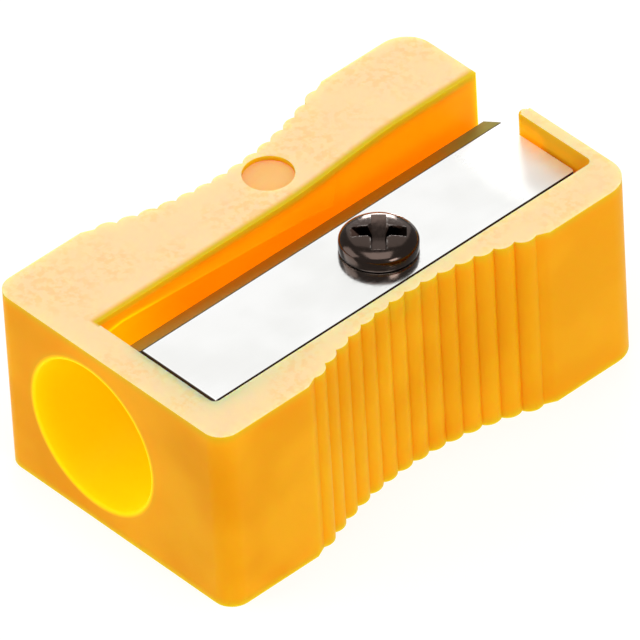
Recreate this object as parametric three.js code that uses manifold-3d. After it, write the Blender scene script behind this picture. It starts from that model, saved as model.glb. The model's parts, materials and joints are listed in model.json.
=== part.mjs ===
// A hand-held pencil sharpener: a waisted, ribbed plastic housing with a conical bore, a steel
// blade lying along the side of that cone, and the cross-recessed screw that holds the blade.
// Millimetres. The origin is at the bottom centre of the housing. The pencil goes in through the
// -Y face, +X is the side with the screw, and +Z is up, towards the blade.

import * as THREE from "three";
import { mergeVertices } from "three/addons/utils/BufferGeometryUtils.js";
import Module from "manifold-3d";

const wasm = await Module();
wasm.setup();

// ---------------------------------------------------------------- driving dimensions

// Housing block
const bodyLength = 25.2;
const bodyWidth = 15;
const bodyHeight = 10;
const frontCornerRadius = 1;
const rearCornerRadius = 1.5;
const edgeRound = 0.25;
const edgeRoundSteps = 2;

// Finger grip: both long sides are drawn in along an arc that carries upright ribs
const waistLength = 13.8;
const waistDepth = 1.5;
const ribCount = 14;
const ribDepth = 0.2;
const ribSteps = 4;

// Pencil bore: a short straight entry, then a cone whose upper side lies on the blade. Its axis
// runs almost exactly under the middle of the skewed cutting edge.
const boreRadius = 3.83;
const boreBesideEdge = -0.033;
const coneHalfAngle = THREE.MathUtils.degToRad(10.5);
const coneTipFromRear = 1.1;

// Blade pocket: its walls are square to the housing
const frontRim = 1.64;
const stopWall = 0.6;
const rightLand = 2.16;
const stopWallReach = 5.04;
const pocketCornerRadius = 0.35;

// Chip slot: the open channel between the left land and the cutting edge
const slotWallFromBore = 1.1;
const slotWallRearSplay = 0.55;
const slotWallSplayLength = 8.4;
const slotDepth = 3.4;
const slotUnderBlade = 0.9;
const exitNotchLength = 1.5;

// Round sink mark that the moulding's ejector pin leaves on the left land
const pinMarkRadius = 1.2;
const pinMarkDepth = 0.25;
const pinMarkFromSlot = 2.1;
const pinMarkForward = 1.3;

// Blade
const bladeWidth = 6.05;
const bladeThickness = 0.6;
const bevelWidth = 1.15;
const bladeCornerRadius = 0.3;
const bladeTilt = THREE.MathUtils.degToRad(2.8);
const bladeSkew = THREE.MathUtils.degToRad(2.5);
const bladeBelowTop = 0.03;
const screwFromBladeSide = 2.44;
const screwAlongBlade = 1.17;

// Blade screw
const headRadius = 1.83;
const headSideHeight = 0.46;
const headHeight = 1.02;
const headEdgeRound = 0.12;
const shankLength = 6;
const plainShankLength = 0.85;
const threadRadius = 1.1;
const threadDepth = 0.3;
const threadPitch = 0.8;
const tipTaperLength = 0.9;
const tipRadiusShare = 0.45;
const recessSpan = 2.7;
const recessFloorSpan = 1.1;
const recessWidth = 0.7;
const recessDepth = 0.85;
const recessHubRadius = 0.62;
const recessHubFloorRadius = 0.3;
const recessTurn = THREE.MathUtils.degToRad(45);

// Clearances between the pieces. The blade leans back, so it drifts towards the stop wall as it
// is lifted out square to its seat, and needs the wider gap behind it.
const bladeFrontGap = 0.06;
const bladeRearGap = 0.12;
const bladeSideGap = 0.06;
const seatGap = 0.05;
const headGap = 0.03;
const bladeHoleClearance = 0.15;
const threadClearance = 0.1;
const threadHoleExtraDepth = 0.6;

// How finely round shapes are divided
const roundSegments = 32;
const threadSegments = 16;
const recessHubSegments = 8;
const rowsPerPitch = 8;
const cornerSteps = 4;

// Spare length by which a cutting tool passes the face that it cuts through
const overrun = 1;

// ---------------------------------------------------------------- sizes that follow

const pocketFront = -bodyLength / 2 + frontRim;
const pocketRear = bodyLength / 2 - stopWall;
const pocketRight = bodyWidth / 2 - rightLand;
const pocketLength = pocketRear - pocketFront;

// The skewed blade just fits between the pocket's square walls. Its ends are cut along the
// front and rear walls, so they slant across it.
const bladeRunAlongY = pocketLength - bladeFrontGap - bladeRearGap;
const bladeLength = bladeRunAlongY / (Math.cos(bladeSkew) * Math.cos(bladeTilt));
const bladeEndSlant = Math.tan(bladeSkew) / Math.cos(bladeTilt);
const bladeRunAcrossX =
  bladeWidth / Math.cos(bladeSkew) + bladeLength * Math.sin(bladeSkew) * Math.cos(bladeTilt);
const bladeCentreX = pocketRight - bladeSideGap - bladeRunAcrossX / 2;
const bladeCentreY = (pocketFront + bladeFrontGap + pocketRear - bladeRearGap) / 2;
const bladeCentreZ =
  bodyHeight - bladeBelowTop - bladeThickness - (bladeLength / 2) * Math.sin(bladeTilt);

const screwAcrossBlade = bladeWidth / 2 - screwFromBladeSide;

// The bore and the slot follow the cutting edge.
const cuttingEdgeX = bladeCentreX - (bladeWidth / 2) * Math.cos(bladeSkew);
const boreX = cuttingEdgeX + boreBesideEdge;
const slotWallFront = boreX - slotWallFromBore;
const slotWallRear = slotWallFront - slotWallRearSplay;
const slotFloor = bodyHeight - slotDepth;
const pinMarkX = slotWallFront - pinMarkFromSlot;
const stopTipX = pocketRight - stopWallReach;

const bladeHoleRadius = threadRadius + bladeHoleClearance;
const headUnderside = bladeThickness + headGap;
const threadCoreRadius = threadRadius - threadDepth;
const shankEnd = headUnderside - shankLength;
const threadTop = headUnderside - plainShankLength;
const threadHoleEnd = shankEnd - threadHoleExtraDepth;

// The blade's own frame: origin at the middle of its underside, X across towards the screw
// side, Y along towards the rear, Z out of the blade's face.
const bladeFrame = new THREE.Matrix4()
  .makeTranslation(bladeCentreX, bladeCentreY, bladeCentreZ)
  .multiply(new THREE.Matrix4().makeRotationZ(bladeSkew))
  .multiply(new THREE.Matrix4().makeRotationX(-bladeTilt));

// ---------------------------------------------------------------- solids and booleans

function solidFrom(geometry) {
  const bare = geometry.index ? geometry.toNonIndexed() : geometry.clone();
  bare.deleteAttribute("normal");
  bare.deleteAttribute("uv");
  const merged = mergeVertices(bare, 1e-5);
  const mesh = new wasm.Mesh({
    numProp: 3,
    vertProperties: new Float32Array(merged.attributes.position.array),
    triVerts: new Uint32Array(merged.index.array),
  });
  mesh.merge();
  return new wasm.Manifold(mesh);
}

function geometryFrom(solid) {
  const mesh = solid.getMesh();
  const geometry = new THREE.BufferGeometry();
  geometry.setAttribute("position", new THREE.BufferAttribute(mesh.vertProperties, 3));
  geometry.setIndex(new THREE.BufferAttribute(mesh.triVerts, 1));
  geometry.computeVertexNormals();
  return geometry;
}

// An outline in the XY plane, raised straight up from one height to another
function prism(shape, low, high, bevel = 0, bevelSteps = 0) {
  const geometry = new THREE.ExtrudeGeometry(shape, {
    depth: high - low - 2 * bevel,
    steps: 1,
    curveSegments: cornerSteps,
    bevelEnabled: bevel > 0,
    bevelThickness: bevel,
    bevelSize: bevel,
    bevelOffset: -bevel,
    bevelSegments: bevelSteps,
  });
  geometry.translate(0, 0, low + bevel);
  return geometry;
}

function upright(cylinder) {
  return cylinder.rotateX(Math.PI / 2);
}

// ---------------------------------------------------------------- housing

// Depth by which the waist is drawn in at a distance along the housing from its middle
function waistInset(along) {
  const half = waistLength / 2;
  const arcRadius = (half * half + waistDepth * waistDepth) / (2 * waistDepth);
  return Math.sqrt(arcRadius * arcRadius - along * along) - (arcRadius - waistDepth);
}

// One long side of the outline, from front to rear, as distances out from the middle plane
function ribbedSide() {
  const points = [];
  const pitch = waistLength / ribCount;
  for (let rib = 0; rib < ribCount; rib += 1) {
    for (let step = 0; step < ribSteps; step += 1) {
      const along = -waistLength / 2 + (rib + step / ribSteps) * pitch;
      const bulge = ribDepth * Math.sin((Math.PI * step) / ribSteps);
      points.push(new THREE.Vector2(bodyWidth / 2 - ribDepth - waistInset(along) + bulge, along));
    }
  }
  points.push(new THREE.Vector2(bodyWidth / 2 - ribDepth, waistLength / 2));
  return points;
}

function bodyOutline() {
  const x = bodyWidth / 2;
  const y = bodyLength / 2;
  const front = frontCornerRadius;
  const rear = rearCornerRadius;
  const side = ribbedSide();
  const shape = new THREE.Shape();
  shape.moveTo(-x + front, -y);
  shape.lineTo(x - front, -y);
  shape.absarc(x - front, -y + front, front, -Math.PI / 2, 0, false);
  shape.lineTo(x, side[0].y - ribDepth);
  for (const point of side) {
    shape.lineTo(point.x, point.y);
  }
  shape.lineTo(x, side[side.length - 1].y + ribDepth);
  shape.lineTo(x, y - rear);
  shape.absarc(x - rear, y - rear, rear, 0, Math.PI / 2, false);
  shape.lineTo(-x + rear, y);
  shape.absarc(-x + rear, y - rear, rear, Math.PI / 2, Math.PI, false);
  shape.lineTo(-x, side[side.length - 1].y + ribDepth);
  for (const point of side.toReversed()) {
    shape.lineTo(-point.x, point.y);
  }
  shape.lineTo(-x, side[0].y - ribDepth);
  shape.lineTo(-x, -y + front);
  shape.absarc(-x + front, -y + front, front, Math.PI, 1.5 * Math.PI, false);
  return shape;
}

// A point of the blade's underside plane, seen from above
function bladePoint(across, along) {
  return new THREE.Vector3(across, along, 0).applyMatrix4(bladeFrame);
}

// Height of the blade's underside plane above a place on the housing's floor
function bladeUndersideHeight(x, y) {
  const centre = bladePoint(0, 0);
  const normal = new THREE.Vector3(0, 0, 1).transformDirection(bladeFrame);
  return centre.z - (normal.x * (x - centre.x) + normal.y * (y - centre.y)) / normal.z;
}

// The pencil's shape: the cone's tip and upper side lie on the blade's underside plane
function boreCutter() {
  const coneLength = boreRadius / Math.tan(coneHalfAngle);
  const entryEnd = -bodyLength - overrun;
  const profile = [
    new THREE.Vector2(0, entryEnd),
    new THREE.Vector2(boreRadius, entryEnd),
    new THREE.Vector2(boreRadius, -coneLength),
    new THREE.Vector2(0, 0),
  ];
  const tipY = bodyLength / 2 - coneTipFromRear;
  const geometry = new THREE.LatheGeometry(profile, roundSegments);
  geometry.rotateX(coneHalfAngle - bladeTilt);
  geometry.translate(boreX, tipY, bladeUndersideHeight(boreX, tipY));
  return solidFrom(geometry);
}

// The pocket for the blade: a floor parallel to the blade, under it by the seat gap, between
// a front wall, a right wall and a rear stop that are all square to the housing
function pocketCutter() {
  const tipRound = stopWall / 2;
  const radius = pocketCornerRadius;
  const left = slotWallFront;
  const open = bodyLength / 2 + overrun;
  const shape = new THREE.Shape();
  shape.moveTo(left, pocketFront);
  shape.lineTo(pocketRight - radius, pocketFront);
  shape.absarc(pocketRight - radius, pocketFront + radius, radius, -Math.PI / 2, 0, false);
  shape.lineTo(pocketRight, pocketRear - radius);
  shape.absarc(pocketRight - radius, pocketRear - radius, radius, 0, Math.PI / 2, false);
  shape.lineTo(stopTipX + tipRound, pocketRear);
  shape.absarc(stopTipX + tipRound, pocketRear + tipRound, tipRound, 1.5 * Math.PI, Math.PI, true);
  shape.lineTo(stopTipX, open);
  shape.lineTo(left, open);
  const walls = solidFrom(prism(shape, 0, bodyHeight + overrun));
  const floorSpan = bodyLength + bodyWidth;
  const aboveFloor = new THREE.BoxGeometry(floorSpan, floorSpan, bodyHeight);
  aboveFloor.translate(0, 0, bodyHeight / 2 - seatGap);
  aboveFloor.applyMatrix4(bladeFrame);
  return walls.intersect(solidFrom(aboveFloor));
}

// The chip slot: its left wall is straight over the cone and splays out towards the rear
function slotCutter() {
  const rear = bodyLength / 2 + overrun;
  const underFront = bladePoint(slotUnderBlade - bladeWidth / 2, -bladeLength / 2);
  const underRear = bladePoint(slotUnderBlade - bladeWidth / 2, bladeLength / 2);
  const notchFront = bodyLength / 2 - exitNotchLength;
  const shape = new THREE.Shape();
  shape.moveTo(slotWallFront, pocketFront);
  shape.lineTo(underFront.x, pocketFront);
  shape.lineTo(underRear.x, notchFront);
  shape.lineTo(stopTipX, notchFront);
  shape.lineTo(stopTipX, rear);
  shape.lineTo(slotWallRear, rear);
  shape.lineTo(slotWallRear, slotWallSplayLength);
  shape.quadraticCurveTo(slotWallRear, slotWallSplayLength / 2, slotWallFront, 0);
  return solidFrom(prism(shape, slotFloor, bodyHeight + overrun));
}

function pinMarkCutter() {
  const height = pinMarkDepth + overrun;
  const cylinder = new THREE.CylinderGeometry(pinMarkRadius, pinMarkRadius, height, roundSegments);
  upright(cylinder);
  cylinder.translate(pinMarkX, pinMarkForward, bodyHeight - pinMarkDepth + height / 2);
  return solidFrom(cylinder);
}

// ---------------------------------------------------------------- thread

// Share of the thread's depth at a height and angle of a right-hand thread: 1 on the crest
function threadHeight(height, angle) {
  const turns = height / threadPitch - angle / (2 * Math.PI);
  const phase = turns - Math.floor(turns);
  return 1 - Math.abs(2 * phase - 1);
}

// A threaded rod along Z in the blade's frame. The core grows by the margin, which makes the
// same shape a cutter for the hole, and reach scales radius and depth near a tapered end. It
// starts as a plain rod of radius 1, whose end faces keep their middle points on the axis.
function threadedRod(low, high, margin, reach) {
  const rows = Math.round(((high - low) / threadPitch) * rowsPerPitch);
  const rod = new THREE.CylinderGeometry(1, 1, high - low, threadSegments, rows);
  upright(rod);
  rod.translate(0, 0, (high + low) / 2);
  const position = rod.attributes.position;
  for (let i = 0; i < position.count; i += 1) {
    const x = position.getX(i);
    const y = position.getY(i);
    const z = position.getZ(i);
    const share = reach(z);
    const crest = threadDepth * threadHeight(z, Math.atan2(y, x)) * share.thread;
    const radius = (threadCoreRadius + crest) * share.radius + margin;
    position.setXY(i, x * radius, y * radius);
  }
  return rod;
}

function fullThread() {
  return { radius: 1, thread: 1 };
}

// The screw's thread runs out under the plain shank and tapers to a blunt point.
function screwThread(height) {
  const fromTip = Math.min(1, (height - shankEnd) / tipTaperLength);
  const fromTop = Math.min(1, Math.max(0, (threadTop - height) / (threadPitch / 2)));
  const radiusShare = tipRadiusShare + (1 - tipRadiusShare) * fromTip;
  return { radius: radiusShare, thread: Math.min(fromTip, fromTop) };
}

// Moves a shape along Z onto the screw's axis, in the blade's frame
function ontoScrewAxis(geometry) {
  return geometry.translate(screwAcrossBlade, screwAlongBlade, 0);
}

function threadHoleCutter() {
  const hole = threadedRod(threadHoleEnd, overrun, threadClearance, fullThread);
  ontoScrewAxis(hole).applyMatrix4(bladeFrame);
  return solidFrom(hole);
}

function housingGeometry() {
  const block = solidFrom(prism(bodyOutline(), 0, bodyHeight, edgeRound, edgeRoundSteps));
  const cutters = [pocketCutter(), slotCutter(), boreCutter(), threadHoleCutter(), pinMarkCutter()];
  const housing = cutters.reduce((rest, cutter) => rest.subtract(cutter), block);
  return geometryFrom(housing);
}

// ---------------------------------------------------------------- blade, in its own frame

function bladeOutline() {
  const x = bladeWidth / 2;
  const y = bladeLength / 2;
  const radius = bladeCornerRadius;
  const shape = new THREE.Shape();
  shape.moveTo(-x, -y);
  shape.lineTo(x - radius, -y);
  shape.absarc(x - radius, -y + radius, radius, -Math.PI / 2, 0, false);
  shape.lineTo(x, y - radius);
  shape.absarc(x - radius, y - radius, radius, 0, Math.PI / 2, false);
  shape.lineTo(-x, y);
  return shape;
}

// The wedge that is ground off the upper left side, leaving the cutting edge at the bottom
function bevelCutter() {
  const edge = -bladeWidth / 2;
  const rise = bladeThickness / bevelWidth;
  const past = bevelWidth / 2;
  const section = new THREE.Shape();
  section.moveTo(edge - past, -past * rise);
  section.lineTo(edge + bevelWidth + past, bladeThickness + past * rise);
  section.lineTo(edge - past, bladeThickness + past * rise);
  const wedge = prism(section, -bladeLength / 2 - overrun, bladeLength / 2 + overrun);
  wedge.rotateX(Math.PI / 2);
  return solidFrom(wedge);
}

function bladeHoleCutter() {
  const height = bladeThickness + 2 * overrun;
  const radius = bladeHoleRadius;
  const cylinder = upright(new THREE.CylinderGeometry(radius, radius, height, roundSegments));
  cylinder.translate(0, 0, bladeThickness / 2);
  return solidFrom(ontoScrewAxis(cylinder));
}

function bladeGeometry() {
  const slanted = new THREE.Matrix4().makeShear(-bladeEndSlant, 0, 0, 0, 0, 0);
  const plate = solidFrom(prism(bladeOutline(), 0, bladeThickness).applyMatrix4(slanted));
  return geometryFrom(plate.subtract(bevelCutter()).subtract(bladeHoleCutter()));
}

// ---------------------------------------------------------------- blade screw

// Pan head: a short cylindrical side, a rounded shoulder and a low dome
function screwHead() {
  const domeSteps = 5;
  const domeRise = headHeight - headSideHeight;
  const profile = [
    new THREE.Vector2(0, 0),
    new THREE.Vector2(headRadius - headEdgeRound, 0),
    new THREE.Vector2(headRadius, headEdgeRound),
  ];
  for (let step = 0; step <= domeSteps; step += 1) {
    const angle = (step / domeSteps) * (Math.PI / 2);
    const radius = step < domeSteps ? headRadius * Math.cos(angle) : 0;
    profile.push(new THREE.Vector2(radius, headSideHeight + domeRise * Math.sin(angle)));
  }
  const head = upright(new THREE.LatheGeometry(profile, roundSegments));
  return solidFrom(head.translate(0, 0, headUnderside));
}

// One wing pair of the cross recess: a slot that narrows towards its floor
function recessWing(turn) {
  const top = headUnderside + headHeight + overrun;
  const floor = headUnderside + headHeight - recessDepth;
  const flare = (recessSpan - recessFloorSpan) / recessDepth;
  const topSpan = recessFloorSpan + flare * (top - floor);
  const section = new THREE.Shape();
  section.moveTo(-recessFloorSpan / 2, floor);
  section.lineTo(recessFloorSpan / 2, floor);
  section.lineTo(topSpan / 2, top);
  section.lineTo(-topSpan / 2, top);
  const wing = prism(section, -recessWidth / 2, recessWidth / 2);
  wing.rotateX(Math.PI / 2);
  wing.rotateZ(turn);
  return solidFrom(wing);
}

function recessHub(turn) {
  const high = headHeight + overrun;
  const flare = (recessHubRadius - recessHubFloorRadius) / recessDepth;
  const height = recessDepth + overrun;
  const topRadius = recessHubFloorRadius + flare * height;
  const hub = new THREE.CylinderGeometry(topRadius, recessHubFloorRadius, height, recessHubSegments);
  upright(hub).rotateZ(turn);
  hub.translate(0, 0, headUnderside + high - height / 2);
  return solidFrom(hub);
}

function screwShank() {
  const threaded = threadedRod(shankEnd, threadTop + overrun / 2, 0, screwThread);
  const plainHeight = plainShankLength + headGap;
  const plain = new THREE.CylinderGeometry(
    threadCoreRadius + threadDepth / 2,
    threadCoreRadius,
    plainHeight,
    threadSegments,
  );
  upright(plain).translate(0, 0, threadTop + plainHeight / 2);
  return solidFrom(threaded).add(solidFrom(plain));
}

function screwGeometry() {
  const body = screwHead().add(screwShank());
  const wings = recessWing(recessTurn).add(recessWing(recessTurn + Math.PI / 2));
  return geometryFrom(body.subtract(wings).subtract(recessHub(recessTurn)));
}

// ---------------------------------------------------------------- materials

function yellowPlastic() {
  return new THREE.MeshStandardMaterial({ color: 0xf2b417, roughness: 0.5, metalness: 0 });
}

function polishedSteel() {
  return new THREE.MeshStandardMaterial({ color: 0xe3e3df, roughness: 0.12, metalness: 1 });
}

function blackenedSteel() {
  return new THREE.MeshStandardMaterial({ color: 0x3a3531, roughness: 0.2, metalness: 1 });
}

// ---------------------------------------------------------------- assembly

function namedMesh(name, geometry, material) {
  const mesh = new THREE.Mesh(geometry, material);
  mesh.name = name;
  return mesh;
}

const housing = namedMesh("housing", housingGeometry(), yellowPlastic());
const blade = namedMesh("blade", bladeGeometry(), polishedSteel());
const bladeScrew = namedMesh("blade_screw", screwGeometry(), blackenedSteel());
bladeScrew.position.set(screwAcrossBlade, screwAlongBlade, 0);

const onTheSeat = new THREE.Group();
onTheSeat.add(blade, bladeScrew);
bladeFrame.decompose(onTheSeat.position, onTheSeat.quaternion, onTheSeat.scale);

const sharpener = new THREE.Group();
sharpener.add(housing, onTheSeat);

export default sharpener;
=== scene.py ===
# %% [markdown]
# # A hand-held pencil sharpener
# The real thing is three pieces: a block of translucent yellow plastic, a polished steel blade
# laid into a pocket on its top, and one dark cross-recessed screw. The model of the sharpener is
# loaded first. It settles every size, place and motion; this lesson gives the three pieces their
# fine shape and their finish.

# %% Load the model
import json
import math

import bpy
from mathutils import Matrix, Vector

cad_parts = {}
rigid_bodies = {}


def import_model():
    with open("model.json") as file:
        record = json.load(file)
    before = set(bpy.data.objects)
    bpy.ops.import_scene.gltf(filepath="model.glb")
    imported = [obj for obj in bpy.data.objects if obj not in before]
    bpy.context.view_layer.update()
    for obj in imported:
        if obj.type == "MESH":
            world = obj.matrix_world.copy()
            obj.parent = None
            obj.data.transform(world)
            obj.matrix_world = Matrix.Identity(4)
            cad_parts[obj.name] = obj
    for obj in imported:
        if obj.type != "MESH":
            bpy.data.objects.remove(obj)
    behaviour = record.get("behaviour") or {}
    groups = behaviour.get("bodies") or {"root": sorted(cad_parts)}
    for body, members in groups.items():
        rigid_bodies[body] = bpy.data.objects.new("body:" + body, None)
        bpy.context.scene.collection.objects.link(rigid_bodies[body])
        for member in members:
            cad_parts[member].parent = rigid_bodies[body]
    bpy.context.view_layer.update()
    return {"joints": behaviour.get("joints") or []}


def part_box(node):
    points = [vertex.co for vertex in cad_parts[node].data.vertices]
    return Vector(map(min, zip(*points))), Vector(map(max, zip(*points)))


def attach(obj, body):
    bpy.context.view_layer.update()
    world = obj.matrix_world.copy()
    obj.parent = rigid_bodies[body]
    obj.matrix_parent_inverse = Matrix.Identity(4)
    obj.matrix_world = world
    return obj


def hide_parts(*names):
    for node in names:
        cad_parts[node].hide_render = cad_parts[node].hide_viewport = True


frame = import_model()
MM = 0.001

# %% [markdown]
# ## Sizes
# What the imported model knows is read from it: the housing's box, and the screw's place and axis.
# The other sizes are the maker's own, in millimetres, as they would stand on the drawing.

# %% Sizes and directions
housing_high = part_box("housing")[1]
half_width = housing_high.x
half_length = housing_high.y
height = housing_high.z

joints = {joint["name"]: joint for joint in frame["joints"]}
screw_foot = Vector(joints["screw_turn"]["pos_m"])
screw_axis = Vector(joints["screw_turn"]["axis"]).normalized()

blade_skew = math.radians(2.5)
blade_tilt = math.radians(2.8)
blade_width = 6.05 * MM
blade_thickness = 0.6 * MM
screw_across_blade = 0.585 * MM
screw_along_blade = 1.17 * MM
seat_gap = 0.05 * MM

front_rim = 1.64 * MM
stop_wall = 0.6 * MM
right_land = 2.16 * MM
pocket_front = -half_length + front_rim
pocket_rear = half_length - stop_wall
pocket_right = half_width - right_land

lie_of_blade = Matrix.Rotation(blade_skew, 4, "Z") @ Matrix.Rotation(-blade_tilt, 4, "X")
to_screw = Vector((screw_across_blade, screw_along_blade, 0))
blade_centre = screw_foot - lie_of_blade @ to_screw
blade_frame = Matrix.Translation(blade_centre) @ lie_of_blade
print("blade centre in mm:", [round(value / MM, 2) for value in blade_centre])


# %% [markdown]
# ## Working by hand
# Every piece is made with the operators that a hand at the keyboard would use. An operator acts
# on whatever is selected, so these few helpers clear the selection, open a piece in edit mode,
# pick faces or edges by where they lie, and cut one solid with another.

# %% Helpers for hand modelling
def start_clean():
    if bpy.context.object and bpy.context.object.mode != "OBJECT":
        bpy.ops.object.mode_set(mode="OBJECT")
    bpy.ops.object.select_all(action="DESELECT")


def named(name):
    piece = bpy.context.object
    piece.name = name
    piece.data.name = name
    return piece


def edit(piece):
    start_clean()
    piece.select_set(True)
    bpy.context.view_layer.objects.active = piece
    bpy.ops.object.mode_set(mode="EDIT")
    bpy.ops.mesh.select_all(action="DESELECT")
    bpy.ops.object.mode_set(mode="OBJECT")


def pick(piece, kind, wanted):
    """Selects the faces or edges that pass a test, and opens edit mode."""
    edit(piece)
    mesh = piece.data
    bpy.context.tool_settings.mesh_select_mode = (False, kind == "EDGE", kind == "FACE")
    if kind == "EDGE":
        for edge in mesh.edges:
            ends = [mesh.vertices[index].co for index in edge.vertices]
            edge.select = wanted(ends[0], ends[1])
    if kind == "FACE":
        for face in mesh.polygons:
            face.select = wanted(face.center, face.normal)
    bpy.ops.object.mode_set(mode="EDIT")


def leave_edit():
    bpy.ops.object.mode_set(mode="OBJECT")


def box_between(name, low, high):
    """A block given by two opposite corners, with its place kept in its mesh."""
    start_clean()
    bpy.ops.mesh.primitive_cube_add(size=1, location=(Vector(low) + Vector(high)) / 2)
    block = named(name)
    block.scale = Vector(high) - Vector(low)
    bpy.ops.object.transform_apply(location=True, rotation=True, scale=True)
    return block


def rod(name, radius, low, high, x, y, sides):
    start_clean()
    middle = (x, y, (low + high) / 2)
    bpy.ops.mesh.primitive_cylinder_add(
        vertices=sides, radius=radius, depth=high - low, location=middle,
    )
    piece = named(name)
    bpy.ops.object.transform_apply(location=True, rotation=True, scale=True)
    return piece


def combine(piece, tool, how):
    """Cuts, joins or intersects a piece with a tool, and throws the tool away."""
    start_clean()
    piece.select_set(True)
    bpy.context.view_layer.objects.active = piece
    boolean = piece.modifiers.new(how.lower(), "BOOLEAN")
    boolean.operation = how
    boolean.solver = "EXACT"
    boolean.object = tool
    bpy.ops.object.modifier_apply(modifier=boolean.name)
    bpy.data.objects.remove(tool, do_unlink=True)


def weld(piece, distance):
    edit(piece)
    bpy.ops.object.mode_set(mode="EDIT")
    bpy.ops.mesh.select_all(action="SELECT")
    bpy.ops.mesh.remove_doubles(threshold=distance)
    leave_edit()


def pick_crisp(piece, wanted, angle=20):
    """Picks only edges where the surface really turns, not the ones that a cut left on a flat."""
    edit(piece)
    bpy.context.tool_settings.mesh_select_mode = (False, True, False)
    bpy.ops.object.mode_set(mode="EDIT")
    bpy.ops.mesh.edges_select_sharp(sharpness=math.radians(angle))
    bpy.ops.object.mode_set(mode="OBJECT")
    mesh = piece.data
    crisp = [edge.index for edge in mesh.edges if edge.select]
    for group in (mesh.vertices, mesh.edges, mesh.polygons):
        group.foreach_set("select", [False] * len(group))
    count = 0
    for index in crisp:
        ends = [mesh.vertices[end].co for end in mesh.edges[index].vertices]
        mesh.edges[index].select = wanted(ends[0], ends[1])
        count += mesh.edges[index].select
    bpy.ops.object.mode_set(mode="EDIT")
    return count


def round_edges(piece, wanted, width, steps):
    found = pick_crisp(piece, wanted)
    if found:
        bpy.ops.mesh.bevel(
            offset=width, segments=steps, profile=0.5, affect="EDGES", clamp_overlap=True,
        )
    leave_edit()
    return found


def place(piece, matrix):
    """Moves a piece from the frame it was made in to its place, and keeps that in its mesh."""
    piece.data.transform(matrix)
    piece.data.update()


def near(value, target, slack=0.004 * MM):
    return abs(value - target) < slack


# %% [markdown]
# ## The housing's block
# The moulding starts as a plain block with its upright corners rounded. Both long sides are
# drawn in by a wide arc for the fingers, and upright ribs follow that arc. One rib is a round
# rod that shows a fifth of a millimetre of its side, copied along the arc and joined on. The
# rods and block are made too tall and trimmed together, so their ends come out flush.

# %% Block, waist and ribs
front_corner = 1.0 * MM
rear_corner = 1.5 * MM
waist_length = 13.8 * MM
waist_depth = 1.5 * MM
rib_count = 14
rib_depth = 0.2 * MM
edge_round = 0.25 * MM
spare = 1.0 * MM

block_low = (-half_width, -half_length, -spare)
block_high = (half_width, half_length, height + spare)
housing = box_between("housing_shell", block_low, block_high)


def upright_corner(at_front):
    def wanted(a, b):
        return near(a.x, b.x) and near(a.y, b.y) and (a.y < 0) == at_front
    return wanted


round_edges(housing, upright_corner(True), front_corner, 8)
round_edges(housing, upright_corner(False), rear_corner, 10)

half_waist = waist_length / 2
waist_radius = (half_waist**2 + waist_depth**2) / (2 * waist_depth)
rib_pitch = waist_length / rib_count
rib_radius = ((rib_pitch / 2) ** 2 + rib_depth**2) / (2 * rib_depth)


def waist_x(y):
    """How far out from the middle the valleys between the ribs lie."""
    inset = math.sqrt(waist_radius**2 - y**2) - (waist_radius - waist_depth)
    return half_width - rib_depth - inset


for side in (-1, 1):
    centre_x = side * (waist_x(0) + waist_radius)
    cutter = rod("waist_cutter", waist_radius, -2 * spare, height + 2 * spare, centre_x, 0, 192)
    combine(housing, cutter, "DIFFERENCE")
    for index in range(rib_count):
        y = -half_waist + (index + 0.5) * rib_pitch
        chord_x = (waist_x(y - rib_pitch / 2) + waist_x(y + rib_pitch / 2)) / 2
        x = side * (chord_x + rib_depth - rib_radius)
        rib = rod("rib", rib_radius, -spare, height + spare, x, y, 40)
        combine(housing, rib, "UNION")

for level, keep_above in ((0, True), (height, False)):
    edit(housing)
    bpy.ops.object.mode_set(mode="EDIT")
    bpy.ops.mesh.select_all(action="SELECT")
    bpy.ops.mesh.bisect(
        plane_co=(0, 0, level), plane_no=(0, 0, 1), use_fill=True,
        clear_inner=keep_above, clear_outer=not keep_above,
    )
    leave_edit()
weld(housing, 0.002 * MM)
print("block with ribs:", len(housing.data.polygons), "faces")


# %% [markdown]
# The mould's edges are eased by a quarter of a millimetre all round, above and below, and the
# easing follows every rib. The two flat faces are still single faces here, so their outline is
# all that has to be picked.

# %% Ease the outer edges
def on_flat_end(a, b):
    return (near(a.z, 0) and near(b.z, 0)) or (near(a.z, height) and near(b.z, height))


eased = round_edges(housing, on_flat_end, edge_round, 4)
print("outline edges eased:", eased)

# %% [markdown]
# ## The pencil bore
# A pencil slides into a short straight entry and meets a cone. A cone primitive whose base is
# pulled on to the outside is exactly the pencil's own shape. It is turned until its upper side
# lies on the blade's underside, so that the blade shaves the pencil along that line.

# %% Bore
bore_radius = 3.83 * MM
bore_x = -1.3 * MM
cone_half_angle = math.radians(10.5)
cone_tip_y = half_length - 1.1 * MM
cone_length = bore_radius / math.tan(cone_half_angle)
bore_sides = 128


def blade_underside(x, y):
    offset = (x - blade_centre.x) * screw_axis.x + (y - blade_centre.y) * screw_axis.y
    return blade_centre.z - offset / screw_axis.z


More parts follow.
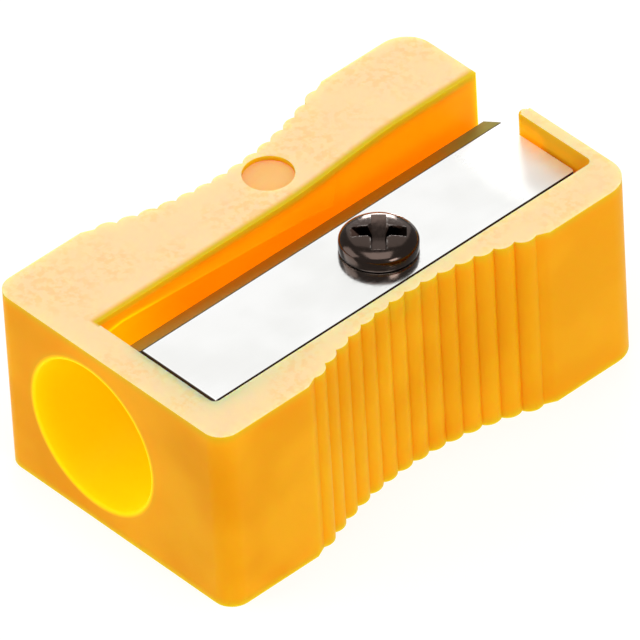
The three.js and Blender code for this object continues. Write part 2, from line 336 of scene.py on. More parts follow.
start_clean()
bpy.ops.mesh.primitive_cone_add(
    vertices=bore_sides, radius1=bore_radius, radius2=0, depth=cone_length,
    location=(0, 0, -cone_length / 2),
)
bore = named("bore_cutter")
bpy.ops.object.transform_apply(location=True, rotation=True, scale=True)
pick(bore, "FACE", lambda centre, normal: normal.z < -0.9)
bpy.ops.mesh.extrude_region_move(TRANSFORM_OT_translate={"value": (0, 0, -half_length)})
leave_edit()
cone_tip = Vector((bore_x, cone_tip_y, blade_underside(bore_x, cone_tip_y)))
bore_lie = Matrix.Rotation(cone_half_angle - blade_tilt - math.pi / 2, 4, "X")
place(bore, Matrix.Translation(cone_tip) @ bore_lie)
combine(housing, bore, "DIFFERENCE")
print("bore tip in mm:", [round(value / MM, 2) for value in cone_tip])

# %% [markdown]
# ## The chip slot and the way out
# Shavings curl up through a slot between the left land and the cutting edge, and the slot is
# open at the rear. Its left wall is straight over the cone and then splays out. A block is
# divided along its length and its left side is moved out by a smooth curve.

# %% Slot and rear notch
slot_wall_front = bore_x - 1.1 * MM
slot_splay = 0.55 * MM
splay_end = half_length * 0.66
slot_floor = height - 3.4 * MM
slot_under_blade = 0.9 * MM
notch_front = half_length - 1.5 * MM
stop_tip = 0.3 * MM
top = height + spare


def slot_wall(y):
    share = min(1, max(0, y / splay_end))
    return slot_wall_front - slot_splay * share * share * (3 - 2 * share)


slot_low = (slot_wall_front, pocket_front, slot_floor)
slot = box_between("slot_cutter", slot_low, (0, half_length + spare, top))
pick(slot, "EDGE", lambda a, b: near(a.x, b.x) and near(a.z, b.z))
bpy.ops.mesh.subdivide(number_cuts=24)
leave_edit()
cutting_edge = blade_frame @ Vector((slot_under_blade - blade_width / 2, 0, 0))
for vertex in slot.data.vertices:
    if near(vertex.co.x, slot_wall_front):
        vertex.co.x = slot_wall(vertex.co.y)
    else:
        vertex.co.x = cutting_edge.x - (vertex.co.y - cutting_edge.y) * math.tan(blade_skew)
combine(housing, slot, "DIFFERENCE")
notch_inset = 0.3 * MM
notch_low = (slot_wall(half_length) + notch_inset, notch_front, slot_floor)
notch = box_between("notch_cutter", notch_low, (stop_tip, half_length + spare, top))
combine(housing, notch, "DIFFERENCE")

# %% [markdown]
# ## The blade pocket
# The pocket's walls are square to the housing, but its floor lies parallel to the blade, which
# tips down towards the rear. The cutter is a block cut off along that floor.

# %% Pocket
pocket_left = bore_x
pocket_low = (pocket_left, pocket_front, 0)
pocket = box_between("pocket_cutter", pocket_low, (pocket_right, pocket_rear, top))
edit(pocket)
bpy.ops.object.mode_set(mode="EDIT")
bpy.ops.mesh.select_all(action="SELECT")
bpy.ops.mesh.bisect(
    plane_co=blade_centre - screw_axis * seat_gap, plane_no=screw_axis, use_fill=True, clear_inner=True
)
leave_edit()


def pocket_corner(a, b):
    return near(a.x, pocket_right) and near(b.x, pocket_right) and near(a.y, b.y)


pocket_round = 0.35 * MM
round_edges(pocket, pocket_corner, pocket_round, 8)
combine(housing, pocket, "DIFFERENCE")

# %% [markdown]
# The stop behind the blade ends like a fingertip. Its square end is cut back by its own half
# thickness, and a rod with a rounded top is joined on in its place.

# %% Stop tip
tip_radius = stop_wall / 2
tip_x = stop_tip + tip_radius
tip_y = pocket_rear + tip_radius
tip_round = 0.22 * MM
root_depth = 0.1 * MM
just_under = 0.003 * MM
square_low = (stop_tip - spare, pocket_rear, slot_floor)
square_end = box_between("tip_cutter", square_low, (tip_x, half_length + spare, top))
combine(housing, square_end, "DIFFERENCE")
finger = rod("finger", tip_radius, slot_floor - root_depth, height - just_under, tip_x, tip_y, 32)
round_edges(finger, lambda a, b: a.z > height - spare and near(a.z, b.z), tip_round, 5)
combine(housing, finger, "UNION")

# %% [markdown]
# ## Screw hole and ejector mark
# The screw's hole is plain and out of sight. The round mark on the left land is where a pin
# pushed the moulding out of its mould.

# %% Hole and mark
hole_radius = 1.15 * MM
hole_depth = 6 * MM
hole = rod("hole_cutter", hole_radius, -hole_depth, spare, 0, 0, 48)
place(hole, Matrix.Translation(screw_foot) @ lie_of_blade)
combine(housing, hole, "DIFFERENCE")
mark_radius = 1.2 * MM
mark_depth = 0.25 * MM
mark_x = -4.5 * MM
mark_y = 1.3 * MM
mark = rod("mark_cutter", mark_radius, height - mark_depth, top, mark_x, mark_y, 64)
combine(housing, mark, "DIFFERENCE")
weld(housing, 0.001 * MM)


# %% [markdown]
# ## Soften the inner edges
# The left land rolls softly into the chip slot, and the bore's mouth and the mark's rim are just
# eased. The pocket's front and right edges stay crisp.

# %% Soft edges
def land_inner_edge(a, b):
    on_wall = near(a.x, slot_wall(a.y), 0.02 * MM) and near(b.x, slot_wall(b.y), 0.02 * MM)
    return on_wall and near(a.z, height) and near(b.z, height)


def bore_mouth(a, b):
    reach = bore_radius + 0.3 * MM
    flat = near(a.y, -half_length) and near(b.y, -half_length)
    centre = Vector((bore_x, 0, height / 2))
    return flat and (Vector((a.x, 0, a.z)) - centre).length < reach


def mark_rim(a, b):
    centre = Vector((mark_x, mark_y, height))
    return all(near((end - centre).length, mark_radius, 0.01 * MM) for end in (a, b))


land_round = 0.4 * MM
mouth_round = 0.12 * MM
mark_round = 0.06 * MM
print("land edges softened:", round_edges(housing, land_inner_edge, land_round, 6))
print("bore mouth edges:", round_edges(housing, bore_mouth, mouth_round, 3))
print("mark rim edges:", round_edges(housing, mark_rim, mark_round, 3))

# %% [markdown]
# Flat faces have to stay flat in the light while rounded ones run smooth. Smoothing by angle
# marks the crisp edges, and normals weighted by face area keep the big faces even.

# %% Shading of the housing
def finish_shading(piece, angle):
    start_clean()
    piece.select_set(True)
    bpy.context.view_layer.objects.active = piece
    bpy.ops.object.shade_smooth_by_angle(angle=math.radians(angle))
    weighted = piece.modifiers.new("weighted_normals", "WEIGHTED_NORMAL")
    weighted.keep_sharp = True
    bpy.ops.object.modifier_apply(modifier=weighted.name)


finish_shading(housing, 32)
print("housing:", len(housing.data.vertices), "vertices")

# %% [markdown]
# ## The blade
# A strip of hardened steel, lapped bright, with a bevel ground along its left side. It starts as
# a block in the blade's own frame. Pushing its upper left edge across turns the upright left side
# into the bevel and leaves the cutting edge at the bottom. The ends are slanted to follow the
# pocket's front and rear walls. A rod takes out the screw hole, and the arrises are broken by a
# few hundredths of a millimetre, which gives each a fine bright line.

# %% Blade
bevel_width = 1.15 * MM
blade_front_gap = 0.06 * MM
blade_rear_gap = 0.12 * MM
blade_run = pocket_rear - pocket_front - blade_front_gap - blade_rear_gap
blade_length = blade_run / (math.cos(blade_skew) * math.cos(blade_tilt))
end_slant = math.tan(blade_skew) / math.cos(blade_tilt)
edge_x = -blade_width / 2
blade_corner = Vector((blade_width / 2, blade_length / 2, blade_thickness))
blade = box_between("steel_blade", (edge_x, -blade_corner.y, 0), blade_corner)


def right_corner(a, b):
    return near(a.y, b.y) and near(a.x, b.x) and a.x > 0


def upper_left_edge(a, b):
    return all(near(end.x, edge_x) and near(end.z, blade_thickness) for end in (a, b))


blade_round = 0.3 * MM
round_edges(blade, right_corner, blade_round, 6)
pick_crisp(blade, upper_left_edge)
bpy.ops.transform.translate(value=(bevel_width, 0, 0))
leave_edit()
for vertex in blade.data.vertices:
    vertex.co.y -= vertex.co.x * end_slant
blade_hole_radius = 1.25 * MM
screw_hole = rod(
    "blade_hole", blade_hole_radius, -spare, spare, screw_across_blade, screw_along_blade, 64,
)
combine(blade, screw_hole, "DIFFERENCE")


def top_arris(a, b):
    return near(a.z, blade_thickness) and near(b.z, blade_thickness)


arris_break = 0.035 * MM
print("blade arrises broken:", round_edges(blade, top_arris, arris_break, 2))
place(blade, blade_frame)
finish_shading(blade, 20)
print("blade length in mm:", round(blade_length / MM, 2))

# %% [markdown]
# ## The screw
# A pan-head self-tapping screw. Its section is drawn as a ring of points and spun round its
# axis, the cross recess is cut by two tapered wings and a hub, and the thread is a small ridge
# that the Screw modifier winds up the shank.

# %% Screw head and shank
head_radius = 1.83 * MM
head_side = 0.46 * MM
head_height = 1.02 * MM
under_head = blade_thickness + 0.03 * MM
shank_radius = 0.8 * MM
shank_length = 6.0 * MM
neck_length = 0.85 * MM
neck_radius = 0.95 * MM
neck_taper = 0.1 * MM
tip_end_radius = 0.36 * MM
tip_length = 0.9 * MM
head_corner = 0.12 * MM
corner_steps = 4
dome_steps = 14
shoulder_fullness = 0.62


def dome_top(radius):
    """Height of the domed top at a distance from the screw's axis."""
    share = min(1, radius / head_radius) ** (1 / shoulder_fullness)
    return under_head + head_side + (head_height - head_side) * math.sqrt(1 - share * share)


def pan_section():
    """Points from the tip of the screw, up its shank and out round the head to the axis."""
    tip = under_head - shank_length
    neck = under_head - neck_length
    section = [(0, tip), (tip_end_radius, tip), (shank_radius, tip + tip_length)]
    section += [(shank_radius, neck), (neck_radius, neck + neck_taper)]
    section += [(neck_radius, under_head), (head_radius - head_corner, under_head)]
    for step in range(corner_steps + 1):
        turn = math.pi / 2 * (step / corner_steps - 1)
        out = head_radius - head_corner + head_corner * math.cos(turn)
        section.append((out, under_head + head_corner * (1 + math.sin(turn))))
    for step in range(dome_steps + 1):
        turn = math.pi / 2 * step / dome_steps
        radius = head_radius * math.cos(turn) ** shoulder_fullness
        section.append((radius if step < dome_steps else 0, dome_top(radius)))
    return section


def spun(name, section, steps):
    """Draws a section point by point and spins it round the Z axis into a closed solid."""
    start_clean()
    bpy.context.tool_settings.mesh_select_mode = (True, False, False)
    bpy.ops.mesh.primitive_plane_add(size=1)
    piece = named(name)
    bpy.ops.object.mode_set(mode="EDIT")
    bpy.ops.mesh.select_all(action="SELECT")
    bpy.ops.mesh.merge(type="CENTER")
    bpy.ops.transform.translate(value=(section[0][0], 0, section[0][1]))
    for before, after in zip(section, section[1:]):
        move = (after[0] - before[0], 0, after[1] - before[1])
        bpy.ops.mesh.extrude_vertices_move(TRANSFORM_OT_translate={"value": move})
    bpy.ops.mesh.select_all(action="SELECT")
    bpy.ops.mesh.spin(steps=steps, angle=math.tau, center=(0, 0, 0), axis=(0, 0, 1))
    bpy.ops.mesh.select_all(action="SELECT")
    bpy.ops.mesh.remove_doubles(threshold=0.001 * MM)
    bpy.ops.mesh.normals_make_consistent(inside=False)
    leave_edit()
    return piece


screw = spun("pan_head_screw", pan_section(), 96)
print("screw body:", len(screw.data.polygons), "faces")

# %% [markdown]
# The recess for the screwdriver is a cross whose wings narrow towards the floor, round a conical
# hub. Each wing starts as a block whose lower face is drawn in. The rim of the recess is then
# rounded over, which is where a polished screw catches the light.

# %% Cross recess
recess_span = 2.7 * MM
recess_floor_span = 1.1 * MM
recess_width = 0.7 * MM
recess_depth = 0.85 * MM
recess_turn = math.radians(45)
wing_squeeze = 0.8
hub_floor_radius = 0.3 * MM
hub_rim_radius = 0.64 * MM
hub_overrun = 0.06 * MM
head_top = under_head + head_height
recess_floor = head_top - recess_depth


def tapered_wing(turn):
    size = Vector((recess_span / 2, recess_width / 2, 0))
    wing = box_between("wing_cutter", Vector((0, 0, recess_floor)) - size, Vector((0, 0, head_top)) + size)
    pick(wing, "FACE", lambda centre, normal: normal.z < -0.9)
    bpy.ops.transform.resize(value=(recess_floor_span / recess_span, wing_squeeze, 1))
    leave_edit()
    pick(wing, "FACE", lambda centre, normal: normal.z > 0.9)
    bpy.ops.mesh.extrude_region_move(TRANSFORM_OT_translate={"value": (0, 0, spare)})
    leave_edit()
    place(wing, Matrix.Rotation(turn, 4, "Z"))
    return wing


for turn in (recess_turn, recess_turn + math.pi / 2):
    combine(screw, tapered_wing(turn), "DIFFERENCE")
start_clean()
bpy.ops.mesh.primitive_cone_add(
    vertices=32, radius1=hub_floor_radius, radius2=hub_rim_radius, depth=recess_depth + hub_overrun,
    location=(0, 0, head_top - recess_depth / 2 + hub_overrun / 2),
)
hub = named("hub_cutter")
bpy.ops.object.transform_apply(location=True, rotation=True, scale=True)
combine(screw, hub, "DIFFERENCE")
weld(screw, 0.002 * MM)


def recess_rim(a, b):
    """The edges where the recess breaks through the dome."""
    across = [math.hypot(end.x, end.y) for end in (a, b)]
    on_dome = all(near(end.z, dome_top(r), 0.02 * MM) for end, r in zip((a, b), across))
    return on_dome and max(across) < recess_span * 0.6


recess_round = 0.08 * MM
print("recess rim edges:", round_edges(screw, recess_rim, recess_round, 3))
print("screw:", len(screw.data.polygons), "faces")

# %% [markdown]
# The thread is a small triangle beside the shank, near its tip. The Screw modifier carries it up
# and round, one pitch for each turn, the way a lathe tool would.

# %% Thread
thread_pitch = 0.8 * MM
thread_depth = 0.3 * MM
thread_turns = 5
thread_start = under_head - shank_length + 0.75 * MM
ridge_half_height = 0.26 * MM
ridge_root = shank_radius - 0.06 * MM

start_clean()
bpy.context.tool_settings.mesh_select_mode = (True, False, False)
bpy.ops.mesh.primitive_circle_add(vertices=3, radius=0.2 * MM, fill_type="NOTHING")
thread = named("thread_ridge")
ridge = [
    (ridge_root, thread_start - ridge_half_height),
    (shank_radius + thread_depth, thread_start),
    (ridge_root, thread_start + ridge_half_height),
]
for vertex, (x, z) in zip(thread.data.vertices, ridge):
    vertex.co = (x, 0, z)
winding = thread.modifiers.new("winding", "SCREW")
winding.axis = "Z"
winding.screw_offset = thread_pitch
winding.iterations = thread_turns
winding.steps = 48
winding.render_steps = 48
winding.use_merge_vertices = False
bpy.ops.object.modifier_apply(modifier=winding.name)
edit(thread)
bpy.ops.object.mode_set(mode="EDIT")
bpy.ops.mesh.select_all(action="SELECT")
bpy.ops.mesh.fill_holes(sides=3)
bpy.ops.mesh.select_all(action="SELECT")
bpy.ops.mesh.normals_make_consistent(inside=False)
leave_edit()
first, next_turned = thread.data.vertices[0].co, thread.data.vertices[3].co
print("thread rises", round((next_turned.z - first.z) / MM, 3), "mm as it turns towards +Y: right-handed")
combine(screw, thread, "UNION")
weld(screw, 0.001 * MM)
print("threaded screw:", len(screw.data.polygons), "faces")

place(screw, Matrix.Translation(screw_foot) @ lie_of_blade)
finish_shading(screw, 35)

# %% [markdown]
# ## Shared effects
# Three effects are used by more than one finish, so each is a node group with named inputs. Grain
# gives a surface its fine relief, patches give slow changes over several millimetres, and arris
# finds thin walls and outer edges by looking a short way into the material.

# %% Helpers for node groups
def new_group(name, inputs, outputs):
    """A node group with plain inputs and outputs, and one-line helpers to fill it."""
    tree = bpy.data.node_groups.new(name, "ShaderNodeTree")
    for label, kind, value in inputs:
        socket = tree.interface.new_socket(name=label, in_out="INPUT", socket_type=kind)
        if value is not None:
            socket.default_value = value
    for label, kind in outputs:
        tree.interface.new_socket(name=label, in_out="OUTPUT", socket_type=kind)
    return tree, tree.nodes.new("NodeGroupInput"), tree.nodes.new("NodeGroupOutput")


def feed(tree, socket, value):
    """Links a value that varies, or types in one that doesn't."""
    if isinstance(value, bpy.types.NodeSocket):
        tree.links.new(value, socket)
    else:
        socket.default_value = value


def math_node(tree, operation, *values):
    node = tree.nodes.new("ShaderNodeMath")
    node.operation = operation
    for socket, value in zip(node.inputs, values):
        feed(tree, socket, value)
    return node.outputs[0]


def vector_node(tree, operation, *values):
    node = tree.nodes.new("ShaderNodeVectorMath")
    node.operation = operation
    for socket, value in zip(node.inputs, values):
        feed(tree, socket, value)
    return node


def step_up(tree, value, low, high):
    """0 below low, 1 above high, and a smooth rise between."""
    node = tree.nodes.new("ShaderNodeMapRange")
    node.interpolation_type = "SMOOTHSTEP"
    feed(tree, node.inputs["Value"], value)
    node.inputs["From Min"].default_value = low
    node.inputs["From Max"].default_value = high
    return node.outputs["Result"]


def step_down(tree, value, low, high):
    """1 below low, 0 above high, and a smooth fall between."""
    return math_node(tree, "SUBTRACT", 1.0, step_up(tree, value, low, high))


def split(tree, vector):
    """The three numbers of a vector."""
    node = tree.nodes.new("ShaderNodeSeparateXYZ")
    tree.links.new(vector, node.inputs[0])
    return node.outputs


def seen_from(tree, where, place, lie):
    """A place in the piece, told in the frame of a turned tool or part."""
    node = tree.nodes.new("ShaderNodeMapping")
    node.vector_type = "TEXTURE"
    node.inputs["Location"].default_value = place
    node.inputs["Rotation"].default_value = lie.to_euler()
    tree.links.new(where, node.inputs["Vector"])
    return node.outputs[0]


def own_normal(tree):
    """The way the surface faces in the piece's own directions, so it turns with the piece."""
    return split(tree, tree.nodes.new("ShaderNodeTexCoord").outputs["Normal"])


def mix(tree, share, first, second):
    node = tree.nodes.new("ShaderNodeMix")
    node.data_type = "RGBA"
    colours = [socket for socket in node.inputs if socket.type == "RGBA"]
    feed(tree, node.inputs[0], share)
    feed(tree, colours[0], first)
    feed(tree, colours[1], second)
    return [socket for socket in node.outputs if socket.type == "RGBA"][0]


def noise(tree, place, scale, detail, roughness=0.5):
    node = tree.nodes.new("ShaderNodeTexNoise")
    feed(tree, node.inputs["Vector"], place)
    feed(tree, node.inputs["Scale"], scale)
    node.inputs["Detail"].default_value = detail
    node.inputs["Roughness"].default_value = roughness
    return node.outputs["Fac"]


# %% Grain, patches and arris
grain, asked, given = new_group(
    "grain",
    [("Place", "NodeSocketVector", None), ("Per metre", "NodeSocketFloat", 5000.0)],
    [("Height", "NodeSocketFloat"), ("Mask", "NodeSocketFloat")],
)
fine = noise(grain, asked.outputs["Place"], asked.outputs["Per metre"], 3)
grain.links.new(fine, given.inputs["Height"])
grain.links.new(step_up(grain, fine, 0.42, 0.62), given.inputs["Mask"])

patches, asked, given = new_group(
    "patches",
    [("Place", "NodeSocketVector", None), ("Per metre", "NodeSocketFloat", 200.0)],
    [("Mask", "NodeSocketFloat")],
)
slow = noise(patches, asked.outputs["Place"], asked.outputs["Per metre"], 2)
patches.links.new(step_up(patches, slow, 0.36, 0.64), given.inputs["Mask"])

arris, asked, given = new_group(
    "arris", [("Reach", "NodeSocketFloat", 0.0006)], [("Mask", "NodeSocketFloat")]
)
inside = arris.nodes.new("ShaderNodeAmbientOcclusion")
inside.inside = True
inside.samples = 8
arris.links.new(asked.outputs["Reach"], inside.inputs["Distance"])
closed = math_node(arris, "SUBTRACT", 1.0, inside.outputs["AO"])
arris.links.new(step_up(arris, closed, 0.06, 0.5), given.inputs["Mask"])


def place_group(tree, group, **values):
    node = tree.nodes.new("ShaderNodeGroup")
    node.node_tree = group
    for label, value in values.items():
        feed(tree, node.inputs[label.replace("_", " ")], value)
    return node


def new_finish(name):
    """A material with its tree, its Principled shader and the piece's own coordinates."""
    finish = bpy.data.materials.new(name)
    finish.use_nodes = True
    tree = finish.node_tree
    where = tree.nodes.new("ShaderNodeTexCoord").outputs["Object"]
    return finish, tree, tree.nodes["Principled BSDF"], where


def relief(tree, shader, height, distance, strength):
    bump = tree.nodes.new("ShaderNodeBump")
    bump.inputs["Distance"].default_value = distance
    bump.inputs["Strength"].default_value = strength
    tree.links.new(height, bump.inputs["Height"])
    tree.links.new(bump.outputs["Normal"], shader.inputs["Normal"])


# %% [markdown]
# ## Translucent yellow plastic
# Light enters this plastic, scatters and comes out again a millimetre away, so it glows. That is
# subsurface scattering, and its radius is longest in red and nearly nothing in blue, which keeps
# the depths amber. Four things change its colour. Faces that touched the lapped top of the mould
# came out frosted, and their cream is painted sheen: the white light they give back, painted on
# the faces that look up. Thin walls and edges turn a greenish lemon, and so does the rounded edge
# of the left land along the slot. The bore's walls are painted a lighter, clearer yellow at its
# mouth, which fades inward; that is painted light. The chip slot is a deep orange. The bore and
# the slot also get a faint painted glow, an emission standing in for the light that the walls
# carry round to them from outside.

# %% Plastic
plastic, tree, shader, where = new_finish("translucent_yellow_plastic")

amber = (0.82, 0.325, 0.002, 1)
honey = (0.90, 0.40, 0.006, 1)
# painted sheen: the cream of the top stands in for the white light the frosted top gives back
painted_sheen_cream = (0.92, 0.685, 0.375, 1)
painted_sheen_spot = (0.92, 0.60, 0.27, 1)
lemon = (0.66, 0.46, 0.012, 1)
# painted light: the lighter yellow of the bore's walls near its mouth
bore_painted_light = (1.0, 0.55, 0.003, 1)
slot_orange = (0.95, 0.29, 0.002, 1)

cloud = place_group(tree, patches, Place=where, Per_metre=170.0).outputs["Mask"]
body_colour = mix(tree, cloud, amber, honey)

at_x, at_y, at_z = split(tree, where)
upward = own_normal(tree)["Z"]

rearward = step_up(tree, at_y, -2 * MM, half_length)
body_colour = mix(tree, math_node(tree, "MULTIPLY", rearward, 0.45), body_colour, honey)

from_tip = seen_from(tree, where, cone_tip, bore_lie)
sideways = vector_node(tree, "MULTIPLY", from_tip, (1, 1, 0)).outputs[0]
from_axis = vector_node(tree, "LENGTH", sideways).outputs["Value"]
cone_radius = math_node(tree, "MULTIPLY", split(tree, from_tip)["Z"], -math.tan(cone_half_angle))
bore_wall = math_node(tree, "MINIMUM", cone_radius, bore_radius)
past_wall = math_node(tree, "SUBTRACT", from_axis, bore_wall)
in_bore = step_down(tree, past_wall, 0.05 * MM, 0.3 * MM)
mouth_end = step_down(tree, at_y, pocket_front + 1 * MM, pocket_front + 7 * MM)
in_mouth = math_node(tree, "MULTIPLY", in_bore, mouth_end)
# Painted light: the bore's walls near the mouth are painted a lighter yellow that fades inward.
body_colour = mix(tree, in_mouth, body_colour, bore_painted_light)

slot_left = slot_wall_front - slot_splay
beside_left = step_up(tree, at_x, slot_left - 0.5 * MM, slot_left)
beside_right = step_down(tree, at_x, 1.5 * MM, 2.5 * MM)
behind_rim = step_up(tree, at_y, pocket_front - 0.2 * MM, pocket_front)
in_depth = step_down(tree, at_z, height - 0.9 * MM, height - 0.15 * MM)
off_bore = math_node(tree, "SUBTRACT", 1.0, in_mouth)
above_floor = step_up(tree, at_z, slot_floor - 0.3 * MM, slot_floor)
in_slot = beside_left
for part in (beside_right, behind_rim, in_depth, off_bore, above_floor):
    in_slot = math_node(tree, "MULTIPLY", in_slot, part)
body_colour = mix(tree, in_slot, body_colour, slot_orange)

thin = place_group(tree, arris, Reach=0.7 * MM).outputs["Mask"]
edge_share = math_node(tree, "MULTIPLY", thin, 0.7)
edge_share = math_node(tree, "MULTIPLY", edge_share, off_bore)
body_colour = mix(tree, edge_share, body_colour, lemon)

speckle = place_group(tree, grain, Place=where, Per_metre=2600.0)
# Painted sheen: faces that look up at the top are painted cream. The same mask also makes the real frosted
# top rougher.
frost_cloud = place_group(tree, patches, Place=where, Per_metre=420.0).outputs["Mask"]
spots = math_node(tree, "MULTIPLY", speckle.outputs["Mask"], frost_cloud)
painted_sheen_colour = mix(tree, math_node(tree, "MULTIPLY", spots, 0.8), painted_sheen_cream, painted_sheen_spot)
faces_up = step_up(tree, upward, 0.72, 0.97)
at_top = step_up(tree, at_z, height - 0.4 * MM, height - 0.1 * MM)
frost_and_sheen = math_node(tree, "MULTIPLY", faces_up, at_top)
splay = step_up(tree, at_y, 0, splay_end)
wall_x = math_node(tree, "MULTIPLY_ADD", splay, -slot_splay, slot_wall_front)
from_wall = math_node(tree, "SUBTRACT", wall_x, at_x)
rolled = step_down(tree, from_wall, 0.1 * MM, 0.5 * MM)
rolled = math_node(tree, "MULTIPLY", rolled, step_up(tree, from_wall, -0.3 * MM, -0.2 * MM))
rolled = math_node(tree, "MULTIPLY", rolled, behind_rim)
frost_and_sheen = math_node(tree, "MULTIPLY", frost_and_sheen, math_node(tree, "SUBTRACT", 1.0, rolled))
body_colour = mix(tree, math_node(tree, "MULTIPLY", rolled, at_top), body_colour, lemon)
tree.links.new(mix(tree, frost_and_sheen, body_colour, painted_sheen_colour), shader.inputs["Base Color"])

# Painted glow: an emission on the bore and slot walls stands in for the light the plastic carries through
# its walls.
black_out = (0, 0, 0, 1)
bore_glow = (0.30, 0.225, 0, 1)
slot_glow = (0.30, 0.12, 0, 1)
glow = mix(tree, in_mouth, mix(tree, in_bore, black_out, slot_glow), bore_glow)
tree.links.new(mix(tree, in_slot, glow, slot_glow), shader.inputs["Emission Color"])
shader.inputs["Emission Strength"].default_value = 1

roughness = math_node(tree, "MULTIPLY_ADD", frost_and_sheen, 0.2, 0.34)
roughness = math_node(tree, "MULTIPLY_ADD", speckle.outputs["Height"], 0.08, roughness)
tree.links.new(roughness, shader.inputs["Roughness"])
shader.inputs["Specular IOR Level"].default_value = 0.03
shader.inputs["Subsurface Weight"].default_value = 0.9
shader.inputs["Subsurface Radius"].default_value = (1.0, 0.45, 0.06)
shader.inputs["Subsurface Scale"].default_value = 1.7 * MM
relief(tree, shader, speckle.outputs["Height"], 0.02 * MM, 0.5)
print("plastic nodes:", len(tree.nodes))

# %% [markdown]
# ## Lapped steel
# The blade is ground along its length and then lapped almost to a mirror. What is left is a set of
# very fine lines, which are noise stretched a hundred times along the blade. They only show where
# something dark is mirrored. The rear end was lapped less and stays dull. The bevel is left rough
# as it was ground, and its dark olive is a painted reflection of the orange plastic it faces. A
# hair's breadth of near-black painted shade runs along the side away from the edge, at the front end
# and where the bevel meets the lapped top; the first two stand in for the dark gaps to the pocket walls.

# %% Steel
steel, tree, shader, where = new_finish("lapped_blade_steel")
stretch = tree.nodes.new("ShaderNodeMapping")
stretch.inputs["Rotation"].default_value = (0, 0, -blade_skew)
stretch.inputs["Scale"].default_value = (1, 0.01, 1)
tree.links.new(where, stretch.inputs["Vector"])
lines = place_group(tree, grain, Place=stretch.outputs[0], Per_metre=9000.0)
tarnish = place_group(tree, patches, Place=where, Per_metre=260.0).outputs["Mask"]
bright_steel = (0.955, 0.955, 0.94, 1)
dull_steel = (0.90, 0.90, 0.88, 1)
# painted reflection: the bevel's olive stands in for the orange plastic it mirrors
bevel_painted_reflection = (0.27, 0.25, 0.05, 1)
# painted shade: the near-black of the hairlines round the blade
painted_gap_shade = (0.05, 0.028, 0.012, 1)
bevel_faces = step_down(tree, own_normal(tree)["X"], -0.42, -0.25)
lapped = mix(tree, tarnish, bright_steel, dull_steel)
on_blade = split(tree, seen_from(tree, where, blade_centre, lie_of_blade))
across = on_blade["X"]
from_middle = math_node(tree, "MULTIPLY_ADD", across, end_slant, on_blade["Y"])
far_side = blade_width / 2
front_end = -blade_length / 2
bevel_top = edge_x + bevel_width
# Painted shade: thin near-black lines along the far side, the front end and the top of the bevel.
side_line = step_up(tree, across, far_side - 0.1 * MM, far_side - 0.06 * MM)
front_line = step_down(tree, from_middle, front_end + 0.08 * MM, front_end + 0.13 * MM)
bevel_line = step_down(tree, across, bevel_top + 0.03 * MM, bevel_top + 0.06 * MM)
painted_hairline = math_node(tree, "MAXIMUM", side_line, front_line)
painted_hairline = math_node(tree, "MAXIMUM", painted_hairline, bevel_line)
lapped = mix(tree, painted_hairline, lapped, painted_gap_shade)
# Painted reflection: the bevel faces get the olive colour. Their extra roughness below is the real
# grinding.
tree.links.new(mix(tree, bevel_faces, lapped, bevel_painted_reflection), shader.inputs["Base Color"])
shader.inputs["Metallic"].default_value = 1
dull_end = step_up(tree, split(tree, where)["Y"], half_length * 0.6, half_length * 0.85)
roughness = math_node(tree, "MULTIPLY_ADD", dull_end, 0.4, 0.12)
roughness = math_node(tree, "MULTIPLY_ADD", bevel_faces, 0.2, roughness)
roughness = math_node(tree, "MULTIPLY_ADD", lines.outputs["Mask"], 0.05, roughness)
tree.links.new(roughness, shader.inputs["Roughness"])
relief(tree, shader, lines.outputs["Height"], 0.003 * MM, 0.25)

# %% [markdown]
# ## Black nickel
# The screw is plated nearly black and stays shiny. It shows as a dark mirror with small hard
# highlights. The plating wears thin on the outer edges, where the steel starts to show.

# %% Screw
black, tree, shader, where = new_finish("black_nickel_screw")
plating = (0.07, 0.05, 0.042, 1)
bare = (0.5, 0.47, 0.44, 1)
worn = place_group(tree, arris, Reach=0.12 * MM).outputs["Mask"]
pitted = place_group(tree, grain, Place=where, Per_metre=6000.0)
show_bare = math_node(tree, "MULTIPLY", worn, pitted.outputs["Mask"])
show_bare = math_node(tree, "MULTIPLY", show_bare, 0.55)
tree.links.new(mix(tree, show_bare, plating, bare), shader.inputs["Base Color"])
shader.inputs["Metallic"].default_value = 1
roughness = math_node(tree, "MULTIPLY_ADD", pitted.outputs["Mask"], 0.06, 0.13)
tree.links.new(roughness, shader.inputs["Roughness"])
relief(tree, shader, pitted.outputs["Height"], 0.006 * MM, 0.3)

for piece, finish in ((housing, plastic), (blade, steel), (screw, black)):
    piece.data.materials.clear()
    piece.data.materials.append(finish)

# %% Hand the pieces to the model
for piece, body, node, finish in (
    (housing, "body", "housing", "housing_plastic"),
    (blade, "blade", "blade", "blade_steel"),
    (screw, "screw", "blade_screw", "screw_steel"),
):
    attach(piece, body)
    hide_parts(node)

# %% [markdown]
# ## Floor and studio
# The sharpener stands on a white sweep. Most of what the sweep shows is its own glow, so the shadow
# on it stays faint. The camera is far away with a long lens, so it sees almost no perspective. Five
# square lights stand round the piece, all at one distance.

# %% Floor
start_clean()
bpy.ops.mesh.primitive_plane_add(size=3, location=(0, 0, 0))
floor = named("floor")
sweep = bpy.data.materials.new("white_sweep")
sweep.use_nodes = True
tree = sweep.node_tree
shader = tree.nodes["Principled BSDF"]
shader.inputs["Base Color"].default_value = (0.35, 0.35, 0.35, 1)
shader.inputs["Roughness"].default_value = 1
shader.inputs["Specular IOR Level"].default_value = 0
shader.inputs["Emission Color"].default_value = (1, 1, 1, 1)
floor_glow = 0.72
shader.inputs["Emission Strength"].default_value = floor_glow
floor.data.materials.append(sweep)

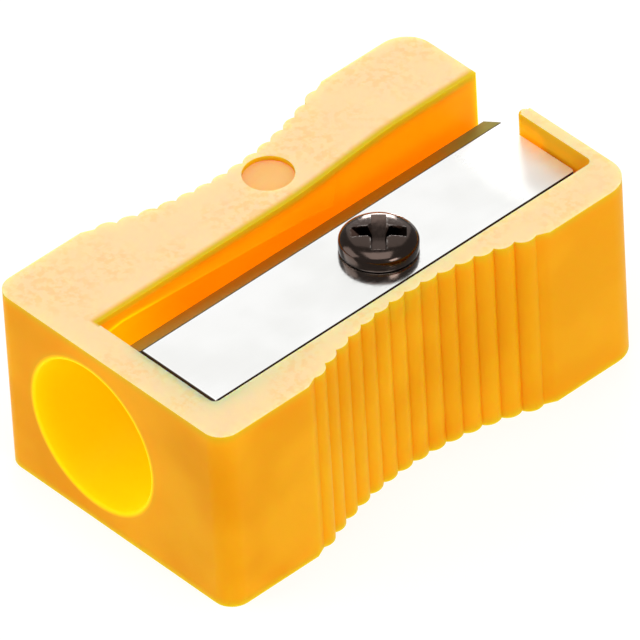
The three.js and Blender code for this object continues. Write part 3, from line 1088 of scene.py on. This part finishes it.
# %% Camera
camera_azimuth = math.radians(49.47)
camera_elevation = math.radians(40.75)
camera_roll = math.radians(-3.42)
camera_distance = 0.6353
aim_point = Vector((0, 0, 5.5 * MM))
backward = Vector((
    math.sin(camera_azimuth) * math.cos(camera_elevation),
    -math.cos(camera_azimuth) * math.cos(camera_elevation),
    math.sin(camera_elevation),
))
level_right = Vector((math.cos(camera_azimuth), math.sin(camera_azimuth), 0))
level_up = backward.cross(level_right)
right = level_right * math.cos(camera_roll) + level_up * math.sin(camera_roll)
up = level_up * math.cos(camera_roll) - level_right * math.sin(camera_roll)
shift_right = 0.0134 * MM
shift_down = 0.506 * MM
aim = aim_point + right * shift_right - up * shift_down
camera_data = bpy.data.cameras.new("camera")
camera = bpy.data.objects.new("camera", camera_data)
bpy.context.scene.collection.objects.link(camera)
turn = Matrix((right, up, backward)).transposed().to_4x4()
camera.matrix_world = Matrix.Translation(aim + backward * camera_distance) @ turn
camera_data.sensor_width = 36
camera_data.lens = 798.6
camera_data.clip_start = 0.01
camera_data.clip_end = 10
bpy.context.scene.camera = camera

# %% Lights
light_distance = 0.4


def softbox(name, direction, size, watts):
    light_data = bpy.data.lights.new(name, "AREA")
    light_data.shape = "SQUARE"
    light_data.size = size
    light_data.energy = watts
    light = bpy.data.objects.new(name, light_data)
    bpy.context.scene.collection.objects.link(light)
    toward = Vector(direction).normalized()
    light.location = toward * light_distance
    light.rotation_euler = toward.to_track_quat("Z", "Y").to_euler()


softbox("back_card", (-0.58, 0.55, 0.6), 0.36, 0.28)
softbox("overhead", (0.15, -0.1, 1), 0.3, 0.66)
softbox("front_left", (-0.9, -1.0, 0.7), 0.3, 0.55)
softbox("front_right", (1.0, 0.0, 0.5), 0.14, 0.5)
softbox("low_back", (-0.58, 0.55, 0.16), 0.1, 0.5)

world = bpy.data.worlds.new("studio")
bpy.context.scene.world = world
world.use_nodes = True
world.node_tree.nodes["Background"].inputs["Color"].default_value = (1, 1, 1, 1)
world.node_tree.nodes["Background"].inputs["Strength"].default_value = 0.3
bpy.context.scene.view_settings.view_transform = "Standard"
